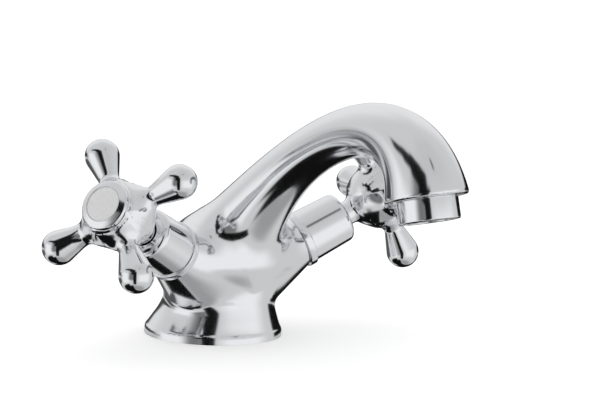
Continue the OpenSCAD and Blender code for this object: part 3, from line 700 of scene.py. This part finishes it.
# Node helpers
class Term:
    """A number in a node tree, which can be added, taken away, multiplied and divided."""

    def __init__(self, tree, socket):
        self.tree, self.socket = tree, socket

    def run(self, operation, *others):
        """A new term from a Math node with this operation."""
        inputs = dict(enumerate((self,) + others))
        return Term(self.tree, add(self.tree, "ShaderNodeMath", inputs, operation=operation).outputs[0])

    def __add__(self, other):
        return self.run("ADD", other)

    def __sub__(self, other):
        return self.run("SUBTRACT", other)

    def __mul__(self, other):
        return self.run("MULTIPLY", other)

    def __truediv__(self, other):
        return self.run("DIVIDE", other)


def soft_edge(value, low, high):
    """0 below low, 1 above high, with a smooth step between; low and high may be swapped."""
    flip = low > high
    node = add(value.tree, "ShaderNodeMapRange", {
        "Value": value,
        "From Min": min(low, high),
        "From Max": max(low, high),
        "To Min": 1 if flip else 0,
        "To Max": 0 if flip else 1,
    }, interpolation_type="SMOOTHSTEP")
    return Term(value.tree, node.outputs["Result"])


def polish_group():
    """Shader group: fine differences in polish, as a mask, and a faint unevenness, as a height."""
    scales = {"Fine Scale": ("Float", 900), "Wave Scale": ("Float", 60)}
    group, start, end = new_group("ShaderNodeTree", "Polish", scales, {"Mask": "Float", "Height": "Float"})
    where = add(group, "ShaderNodeTexCoord").outputs["Object"]
    fine, wave = (
        add(group, "ShaderNodeTexNoise", {"Vector": where, "Scale": start.outputs[scale], "Detail": detail})
        for scale, detail in (("Fine Scale", 3), ("Wave Scale", 1)))
    ramp = add(group, "ShaderNodeMapRange", {"Value": fine.outputs["Fac"], "From Min": 0.35, "From Max": 0.7})
    feed(group, ramp.outputs["Result"], end.inputs["Mask"])
    feed(group, wave.outputs["Fac"], end.inputs["Height"])


def wear_group():
    """Shader group: hairlines left by wiping, and dried water drops, both as masks."""
    scales = {"Hairline Scale": ("Float", 260), "Drop Scale": ("Float", 170)}
    group, start, end = new_group("ShaderNodeTree", "Wear", scales, {"Hairlines": "Float", "Drops": "Float"})
    where = add(group, "ShaderNodeTexCoord").outputs["Object"]
    # Wiping runs mostly one way, so the lines come from noise that is drawn out along one direction
    wiped = add(group, "ShaderNodeMapping", {
        "Vector": where, "Rotation": (0.6, 0.35, 0.9), "Scale": (1, 1, 0.07)})
    lines = add(group, "ShaderNodeTexNoise", {
        "Vector": wiped.outputs["Vector"], "Scale": start.outputs["Hairline Scale"], "Detail": 4})
    # A line lies wherever this noise crosses its middle value
    middle = (Term(group, lines.outputs["Fac"]) - 0.5).run("ABSOLUTE")
    feed(group, soft_edge(middle, 0.012, 0.002), end.inputs["Hairlines"])
    drops = add(group, "ShaderNodeTexVoronoi", {"Vector": where, "Scale": start.outputs["Drop Scale"]})
    # Each drop is a thin ring with a soft inside, and only a few places have any
    few = add(group, "ShaderNodeTexNoise", {"Vector": where, "Scale": 40})
    reach = Term(group, drops.outputs["Distance"])
    rim = soft_edge(reach, 0.34, 0.3) * soft_edge(reach, 0.2, 0.29)
    feed(group, rim * soft_edge(Term(group, few.outputs["Fac"]), 0.6, 0.66), end.inputs["Drops"])


def turning_group():
    """Shader group: the fine rings that a lathe leaves, round an axis through a centre."""
    group, start, end = new_group("ShaderNodeTree", "Turning marks", {
        "Centre": ("Vector", (0, 0, 0)), "Turn": ("Vector", (0, 0, 0)), "Scale": ("Float", 2500),
    }, {"Rings": "Float"})
    place = add(group, "ShaderNodeMapping", {
        "Vector": add(group, "ShaderNodeTexCoord").outputs["Object"],
        "Location": start.outputs["Centre"],
        "Rotation": start.outputs["Turn"],
    }, vector_type="TEXTURE")
    rings = add(group, "ShaderNodeTexWave", {
        "Vector": place.outputs["Vector"], "Scale": start.outputs["Scale"], "Distortion": 1.5, "Detail": 2,
    }, wave_type="RINGS", rings_direction="Z")
    feed(group, rings.outputs["Fac"], end.inputs["Rings"])


def raise_by(tree, height, depth):
    """Feeds the shader's normal from a height, whose full range is the depth in millimetres."""
    raised = add(tree, "ShaderNodeBump", {"Strength": 1, "Distance": depth * MM, "Height": height})
    feed(tree, raised.outputs["Normal"], tree.nodes["Principled BSDF"].inputs["Normal"])


def use_group(tree, name, inputs=None):
    """A node that uses one of the shader groups."""
    return add(tree, "ShaderNodeGroup", inputs, node_tree=bpy.data.node_groups[name])


def blend(tree, factor, a, b, kind="FLOAT"):
    """The output of a mix node: a where the factor is 0 and b where it is 1."""
    node = add(tree, "ShaderNodeMix", {"Factor": factor, "A": a, "B": b}, data_type=kind)
    return node.outputs["Result"]


def shader(name, base, metallic=0.0, roughness=(0.4, 0.5), bump=0.0, fine=900, wave=60, tint=0.0, wear=0.0,
           **constants):
    """A material whose roughness and height come from the Polish group, and whose colour varies by tint."""
    made = bpy.data.materials.new(name)
    made.use_nodes = True
    tree = made.node_tree
    surface = tree.nodes["Principled BSDF"]
    surface.inputs["Metallic"].default_value = metallic
    surface.inputs["Base Color"].default_value = (*base, 1)
    for socket, value in constants.items():
        surface.inputs[socket.replace("_", " ")].default_value = value
    polish = use_group(tree, "Polish", {"Fine Scale": fine, "Wave Scale": wave})
    mask = polish.outputs["Mask"]
    spread = add(tree, "ShaderNodeMapRange", {"Value": mask, "To Min": roughness[0], "To Max": roughness[1]})
    dull = Term(tree, spread.outputs["Result"])
    if wear:
        marks = use_group(tree, "Wear")
        for kind in ("Hairlines", "Drops"):
            dull = dull + Term(tree, marks.outputs[kind]) * wear
    feed(tree, dull, surface.inputs["Roughness"])
    if tint:
        darker = [c * (1 - tint) for c in base]
        feed(tree, blend(tree, mask, (*base, 1), (*darker, 1), "RGBA"), surface.inputs["Base Color"])
    if bump:
        raise_by(tree, polish.outputs["Height"], bump)
    return made


def turned_shader(name, base, place, roughness, depth, metallic=1.0):
    """A metal with lathe marks round the axis of the place it is used at."""
    made = shader(name, base, metallic=metallic, roughness=roughness, tint=0.05, wear=0.1)
    origin, axes = place
    marks = use_group(made.node_tree, "Turning marks", {
        "Centre": origin * MM, "Turn": Matrix(axes.T.tolist()).to_euler()})
    raise_by(made.node_tree, marks.outputs["Rings"], depth)
    return made


def material(name):
    """A finished material by its name."""
    return bpy.data.materials[name]


# Operators
class TAP_OT_camera(bpy.types.Operator):
    """Place the camera where the photograph was taken"""
    bl_idname = "tap.camera"
    bl_label = "Camera"

    def execute(self, context):
        g = context.scene.tap_stage
        camera = bpy.data.objects.new("camera", bpy.data.cameras.new("camera"))
        context.scene.collection.objects.link(camera)
        camera.data.sensor_fit = "HORIZONTAL"
        camera.data.sensor_width = 36
        camera.data.lens = g.lens
        camera.data.clip_end = 20
        aim = Matrix.Identity(4)
        for amount, axis in ((g.turn, "Z"), (math.pi / 2 - g.dip, "X"), (g.roll, "Z")):
            aim = aim @ Matrix.Rotation(amount, 4, axis)
        camera.matrix_world = Matrix.Translation(g.camera_place) @ aim
        context.scene.camera = camera
        return {"FINISHED"}


class TAP_OT_materials(bpy.types.Operator):
    """Make every material of the tap"""
    bl_idname = "tap.materials"
    bl_label = "Materials"

    def execute(self, context):
        g = context.scene.tap_finish
        s = sizes(context)
        polish_group()
        wear_group()
        turning_group()
        rough = g.chrome_roughness
        shader("chrome", g.chrome, metallic=1, roughness=(rough, rough + 0.02), bump=0.003, tint=0.02,
               wear=0.05)
        shader("rubber", g.rubber, roughness=(0.55, 0.8), bump=0.03, fine=2500, wave=900, tint=0.3)
        shader("ceramic", g.ceramic, roughness=(0.12, 0.25), bump=0.004, tint=0.04, Coat_Weight=0.3)
        shader("plastic", g.plastic, roughness=(0.35, 0.5), bump=0.01, fine=1500, tint=0.06)
        for key, side in SIDES.items():
            place = valve_frame(side, s)
            turned_shader("satin_" + key, g.satin, place, roughness=(0.5, 0.62), depth=0.004, metallic=0.7)
            turned_shader("brass_" + key, g.brass, place, roughness=(0.25, 0.4), depth=0.006)
            turned_shader("steel_" + key, g.steel, place, roughness=(0.25, 0.4), depth=0.005)
        return {"FINISHED"}


class TAP_OT_body(bpy.types.Operator):
    """Build the cast body and spout as one softly blended shape, with its bores"""
    bl_idname = "tap.body"
    bl_label = "Body and spout"

    def execute(self, context):
        s = sizes(context)
        field = lambda p: body_field(p, s)
        points, quads = net_over(field, *BODY_BOX, s["TapBodySizes_grain"])
        body = new_piece("tap_body", points, quads)
        face = s["arm_len"]
        # The first tool cuts the foot flat, and the first at each arm cuts the arm's face
        tools = [cutter(s["foot_d"], -5 * OVERCUT, 0, upright(0, 0))]
        for side in SIDES.values():
            place = valve_frame(side, s)
            inlet = upright(side * s["inlet_apart"] / 2, -s["inlet_front"])
            tools.append(cutter(s["arm_d"], face, face + 2 * OVERCUT, place))
            tools.append(cutter(s["chamber_d"] / 2, s["chamber_floor"], face + OVERCUT, place))
            tools.append(cutter(s["inlet_d"] / 2, -OVERCUT, s["inlet_h"], inlet))
        tools.append(cutter(s["stud_d"] / 2, -OVERCUT, s["stud_h"], upright(0, s["stud_back"])))
        socket_r = s["aerator_thread_d"] / 2 + s["socket_gap"]
        tools.append(cutter(socket_r, -s["socket_h"], 1.5 * OVERCUT, mouth_frame(s)))
        cut(body, tools)
        shade(body, field)
        dress(body, material("chrome"))
        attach(body, "root")
        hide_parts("body")
        return {"FINISHED"}


class TAP_OT_handles(bpy.types.Operator):
    """Build both cross handles"""
    bl_idname = "tap.handles"
    bl_label = "Cross handles"

    def execute(self, context):
        s = sizes(context)
        for key, side in SIDES.items():
            field = lambda p: handle_field(p, side, s[key + "_turn"], s)
            place = valve_frame(side, s)
            middle = placed([[0, 0, s["ball_s"] - HANDLE_MIDDLE]], place)[0]
            points, quads = net_over(
                field, middle - HANDLE_REACH, middle + HANDLE_REACH, s["TapHandleSizes_grain"])
            handle = new_piece(key + "_handle", points, quads)
            neck_end, top = s["cover_top"] - s["neck_reach"], s["hub_top"]
            cut(handle, [
                cutter(s["cover_d"] / 2, s["cover_top"] - 2 * OVERCUT, neck_end, place),
                cutter(s["cup_d"] / 2, top - s["cup_h"], top + OVERCUT, place),
            ])
            shade(handle, field)
            dress(handle, material("chrome"))
            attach(handle, key + "_handle")
            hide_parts(key + "_cross_handle")
        return {"FINISHED"}


def cover_outline(t):
    """A thin cup with a flange at its open end and a rounded shoulder."""
    inside = t["End Diameter"] / 2 - t["Wall"]
    shelf = t["Low"] + t["Flange Height"]
    edge, fine = t["Edge Rounding"], 0.25 * MM
    return [
        (inside, t["Low"], 0),
        (t["Flange Diameter"] / 2, t["Low"], edge),
        (t["Flange Diameter"] / 2, shelf, edge),
        (t["Diameter"] / 2, shelf, fine),
        (t["End Diameter"] / 2, t["Top"], t["Shoulder Rounding"]),
        (t["Hole"] / 2, t["Top"], fine),
        (t["Hole"] / 2, t["Top"] - t["Wall"], fine),
        (inside, t["Top"] - t["Wall"], fine),
    ]


class TAP_OT_covers(bpy.types.Operator):
    """Turn the bonnet covers"""
    bl_idname = "tap.covers"
    bl_label = "Bonnet covers"

    def execute(self, context):
        s = sizes(context)
        values = {
            "Low": s["arm_len"] * MM,
            "Top": s["cover_top"] * MM,
            "Flange Diameter": s["flange_d"] * MM,
            "Flange Height": s["flange_h"] * MM,
            "Diameter": s["cover_d"] * MM,
            "End Diameter": s["cover_end_d"] * MM,
            "Hole": s["cover_hole_d"] * MM,
            "Wall": s["cover_wall"] * MM,
            "Edge Rounding": s["flange_round"] * MM,
            "Shoulder Rounding": s["cover_round"] * MM,
        }
        tree = turned_tree("Turned cover", values, cover_outline)
        for key, side in SIDES.items():
            cover = tree_piece(key + "_cover", tree, values, material("chrome"), valve_frame(side, s))
            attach(cover, "root")
            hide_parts(key + "_bonnet_cover")
        return {"FINISHED"}


def ring_outline(t):
    """A low rounded ring with a sleeve below it and a step inside it for the disc."""
    seat = t["Low"] + t["Seat"]
    top = t["Low"] + t["Height"]
    inside, fine = t["Disc"] / 2 + t["Disc Gap"], 0.15 * MM
    return [
        (t["Sleeve"] / 2 - t["Sleeve Wall"], t["Low"] - t["Sleeve Length"], 0),
        (t["Sleeve"] / 2, t["Low"] - t["Sleeve Length"], fine),
        (t["Sleeve"] / 2, t["Low"], 0),
        (t["Diameter"] / 2, t["Low"], fine),
        (t["Diameter"] / 2, top - t["Fall"], t["Rounding"]),
        (inside + t["Lip"], top, fine),
        (inside, top - t["Lip"], fine),
        (inside, seat, 0),
        (t["Sleeve"] / 2 - t["Sleeve Wall"], seat, fine),
    ]


def disc_outline(t):
    """A thin disc with a bevelled edge and a slightly domed face."""
    edge = t["Low"] + t["Thickness"]
    radius = t["Diameter"] / 2
    face = []
    for k in reversed(range(DOME_STEPS)):
        part = k / DOME_STEPS
        face.append((radius * part, edge + t["Dome"] * (1 - part ** 2), 0))
    return [
        (0, t["Low"], 0),
        (radius, t["Low"], 0),
        (radius, edge - t["Bevel"], 0),
        (radius - t["Bevel"], edge, 0),
        *face,
    ]


class TAP_OT_index(bpy.types.Operator):
    """Turn the index rings and the bare index discs"""
    bl_idname = "tap.index"
    bl_label = "Index rings and discs"

    def execute(self, context):
        s = sizes(context)
        seat = s["ring_h"] - s["index_h"]
        ring_values = {
            "Low": s["hub_top"] * MM,
            "Height": s["ring_h"] * MM,
            "Diameter": s["ring_d"] * MM,
            "Rounding": s["ring_round"] * MM,
            "Fall": s["ring_fall"] * MM,
            "Lip": s["ring_lip"] * MM,
            "Seat": seat * MM,
            "Disc": s["index_d"] * MM,
            "Disc Gap": s["index_gap"] * MM,
            "Sleeve": s["sleeve_d"] * MM,
            "Sleeve Length": s["sleeve_h"] * MM,
            "Sleeve Wall": s["sleeve_wall"] * MM,
        }
        disc_values = {
            "Low": (s["hub_top"] + seat) * MM,
            "Thickness": (s["index_h"] - s["index_sink"]) * MM,
            "Diameter": s["index_d"] * MM,
            "Dome": s["index_dome"] * MM,
            "Bevel": s["index_bevel"] * MM,
        }
        ring_tree = turned_tree("Turned index ring", ring_values, ring_outline)
        disc_tree = turned_tree("Turned index disc", disc_values, disc_outline)
        for key, side in SIDES.items():
            place = valve_frame(side, s)
            ring = tree_piece(key + "_ring", ring_tree, ring_values, material("chrome"), place)
            disc = tree_piece(key + "_badge", disc_tree, disc_values, material("satin_" + key), place)
            for piece, node, slot in ((ring, "_index_ring", "chrome"), (disc, "_index_disc", "satin_chrome")):
                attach(piece, key + "_handle")
                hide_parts(key + node)
        return {"FINISHED"}


def housing_outline(t):
    """A collar below the spout's mouth, with a thread above it and a lip round its outlet."""
    bore, lip = t["Thread"] / 2 - t["Wall"], t["Lip"]
    fine = 0.2 * MM
    return [
        (bore, t["Thread Length"] * -1, 0),
        (t["Thread"] / 2, t["Thread Length"] * -1, fine),
        (t["Thread"] / 2, 0, 0),
        (t["Diameter"] / 2, 0, fine),
        (t["Diameter"] / 2, t["Height"], t["Rounding"]),
        (bore - lip, t["Height"], fine),
        (bore - lip, t["Height"] - lip, fine),
        (bore, t["Height"] - lip, 0),
    ]


class TAP_OT_aerator(bpy.types.Operator):
    """Turn the aerator housing"""
    bl_idname = "tap.aerator"
    bl_label = "Aerator"

    def execute(self, context):
        s = sizes(context)
        values = {
            "Thread": s["aerator_thread_d"] * MM,
            "Thread Length": s["aerator_thread_h"] * MM,
            "Diameter": s["aerator_d"] * MM,
            "Height": s["aerator_h"] * MM,
            "Wall": s["aerator_wall"] * MM,
            "Lip": s["aerator_lip"] * MM,
            "Rounding": s["aerator_round"] * MM,
        }
        tree = turned_tree("Turned housing", values, housing_outline)
        housing = tree_piece("aerator_ring", tree, values, material("chrome"), mouth_frame(s))
        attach(housing, "root")
        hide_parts("aerator_housing")
        return {"FINISHED"}


class TAP_OT_inner(bpy.types.Operator):
    """Give the carried-over CAD pieces their materials"""
    bl_idname = "tap.inner"
    bl_label = "Inner pieces"

    def execute(self, context):
        looks = {"seal": "rubber", "washer": "rubber", "o_rings": "rubber", "disc": "ceramic",
                 "insert": "plastic", "headwork": "brass", "spindle": "brass", "circlip": "steel",
                 "screw": "steel", "index_disc": "satin", "index_ring": "chrome"}
        for name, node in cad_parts.items():
            key = [k for k in looks if name.endswith(k)]
            if not key:
                continue
            look = looks[max(key, key=len)]
            side = name.split("_")[0]
            dress(node, material(look + "_" + side if look in ("brass", "steel", "satin") else look))
        return {"FINISHED"}


# Light and dark of the studio that the chrome reflects, as seen from the tap. Each card has its name, the
# compass angle of its middle from the camera's direction (to the picture's right), its height angle, its half
# width and half height, its turn, the softness of its side edges and of its upper and lower edges, and its
# grey. All angles are in degrees. A later card lies in front of the earlier ones. STUDIO_GREY is the rest of
# the studio, and BLACK is as dark as it gets.
BLACK = 0.006
STUDIO_GREY = 0.7
STUDIO_CARDS = (
    ("back wall", 188, 35, 50, 30, 0, 45, 40, 0.9),
    ("ceiling front", 30, 58, 55, 22, 0, 50, 25, 0.64),
    ("right screen", 56, -8, 39, 22, 0, 36, 22, 1.0),
    ("right low", 60, -73, 85, 17, 0, 30, 22, 0.38),
    ("left screen", -67, -9, 29, 25, 0, 26, 12, 1.0),
    ("left fade", -28, 7, 17, 27, 0, 26, 16, 0.2),
    ("left band", -105, -5, 9, 4, 0, 8, 4, 0.4),
    ("floor left", -100, -66, 50, 24, 0, 10, 5, BLACK),
    ("floor left near", -47, -74, 26, 21, 0, 10, 8, BLACK),
    ("floor back right", 168, -52, 26, 38, 0, 6, 6, BLACK),
    ("low back right", 151, -20, 16, 8, 0, 6, 5, BLACK),
    ("floor back left", -150, -74, 44, 22, 0, 10, 8, BLACK),
    ("left back horizon", -146, -1, 36, 6, 0, 16, 4, 0.06),
    ("left back low", -146, -20, 40, 8, 0, 16, 6, 0.1),
    ("horizon right", 148, 0, 23, 9, 0, 6, 4, BLACK),
    ("top arc end", -74, 34, 12, 4, 22, 8, 3, BLACK),
    ("top arc left", -54, 39, 13, 6, 12, 8, 3, BLACK),
    ("top arc middle", -34, 39, 13, 9, -3, 8, 3, BLACK),
    ("top arc right", -16, 30, 12, 16, -12, 8, 3, BLACK),
    ("camera gap", -5, -7, 11, 41, 0, 4, 5, BLACK),
    ("far streak", 32, 54, 3, 5, 0, 3, 4, 0.01),
)


class TAP_OT_stage(bpy.types.Operator):
    """Make the floor and the studio light"""
    bl_idname = "tap.stage"
    bl_label = "Stage"

    def execute(self, context):
        g = context.scene.tap_stage
        half = g.floor_size / MM / 2
        corners = [(x * half, y * half, -FLOOR_GAP) for x, y in ((-1, -1), (1, -1), (1, 1), (-1, 1))]
        floor = new_piece("floor", corners, [(0, 1, 2, 3)])
        look = bpy.data.materials.new("floor")
        look.use_nodes = True
        tree = look.node_tree
        tree.nodes.clear()
        # The glow is seen by the camera alone: it whitens the floor and lights nothing
        lift = Term(tree, add(tree, "ShaderNodeLightPath").outputs["Is Camera Ray"]) * g.floor_glow
        matt = add(tree, "ShaderNodeBsdfDiffuse", {"Color": (*g.floor_colour, 1)})
        glow = add(tree, "ShaderNodeEmission", {"Strength": lift})
        both = add(tree, "ShaderNodeAddShader", {0: matt.outputs[0], 1: glow.outputs[0]})
        add(tree, "ShaderNodeOutputMaterial", {"Surface": both.outputs[0]})
        dress(floor, look)
        floor.visible_glossy = False
        self.world(context, g)
        return {"FINISHED"}

    def world(self, context, g):
        world = bpy.data.worlds.new("studio")
        context.scene.world = world
        world.use_nodes = True
        tree = world.node_tree
        tree.nodes.clear()
        # After this turn, +X points from the tap to the camera
        aim = add(tree, "ShaderNodeVectorRotate", {
            "Vector": add(tree, "ShaderNodeTexCoord").outputs["Generated"],
            "Angle": math.pi / 2 - g.turn,
        }, rotation_type="Z_AXIS")
        parts = add(tree, "ShaderNodeSeparateXYZ", {0: aim.outputs["Vector"]})
        x, y, z = (Term(tree, out) for out in parts.outputs)
        degree = 180 / math.pi
        around = y.run("ARCTAN2", x) * degree
        height = z.run("ARCSINE") * degree
        plain = add(tree, "ShaderNodeValue")
        plain.outputs[0].default_value = STUDIO_GREY
        grey = Term(tree, plain.outputs[0])
        for name, middle, level, wide, tall, turn, soft_side, soft_end, value in STUDIO_CARDS:
            off = (around - middle + 540).run("FLOORED_MODULO", 360) - 180
            rise = height - level
            across, lean = math.cos(math.radians(turn)), math.sin(math.radians(turn))
            side = (off * across + rise * lean).run("ABSOLUTE")
            end = (rise * across - off * lean).run("ABSOLUTE")
            mask = (soft_edge(side, wide + soft_side / 2, wide - soft_side / 2)
                    * soft_edge(end, tall + soft_end / 2, tall - soft_end / 2))
            grey = grey + mask * (grey * -1 + value)
        # Matt surfaces are lit evenly, polished ones mirror the cards, and the camera sees plain white
        light = add(tree, "ShaderNodeLightPath")
        seen = blend(tree, light.outputs["Is Diffuse Ray"], grey, g.light_level)
        white = blend(tree, light.outputs["Is Camera Ray"], seen, 1)
        back = add(tree, "ShaderNodeBackground", {"Color": white})
        add(tree, "ShaderNodeOutputWorld", {"Surface": back.outputs[0]})
        context.scene.view_settings.view_transform = "Standard"


class TAP_PT_panel(bpy.types.Panel):
    """Lists the tap's pieces and sizes"""
    bl_label = "Basin mixer tap"
    bl_idname = "TAP_PT_panel"
    bl_space_type = "VIEW_3D"
    bl_region_type = "UI"
    bl_category = "Tap"

    def draw(self, context):
        for step in STEPS:
            self.layout.operator(step.bl_idname)
        for group in GROUPS:
            box = self.layout.box()
            values = getattr(context.scene, group)
            for key in values.__annotations__:
                box.prop(values, key)


GROUPS = {
    "tap_body": TapBodySizes,
    "tap_handle": TapHandleSizes,
    "tap_trim": TapTrimSizes,
    "tap_finish": TapFinish,
    "tap_stage": TapStage,
}
STEPS = (
    TAP_OT_camera,
    TAP_OT_materials,
    TAP_OT_body,
    TAP_OT_handles,
    TAP_OT_covers,
    TAP_OT_index,
    TAP_OT_aerator,
    TAP_OT_inner,
    TAP_OT_stage,
)


def register():
    for item in (*GROUPS.values(), *STEPS, TAP_PT_panel):
        bpy.utils.register_class(item)
    for name, group in GROUPS.items():
        setattr(bpy.types.Scene, name, bpy.props.PointerProperty(type=group))


def unregister():
    for name in GROUPS:
        delattr(bpy.types.Scene, name)
    for item in reversed((*GROUPS.values(), *STEPS, TAP_PT_panel)):
        bpy.utils.unregister_class(item)


def main():
    register()
    for step in STEPS:
        group, name = step.bl_idname.split(".")
        getattr(getattr(bpy.ops, group), name)()


if __name__ == "__main__":
    main()
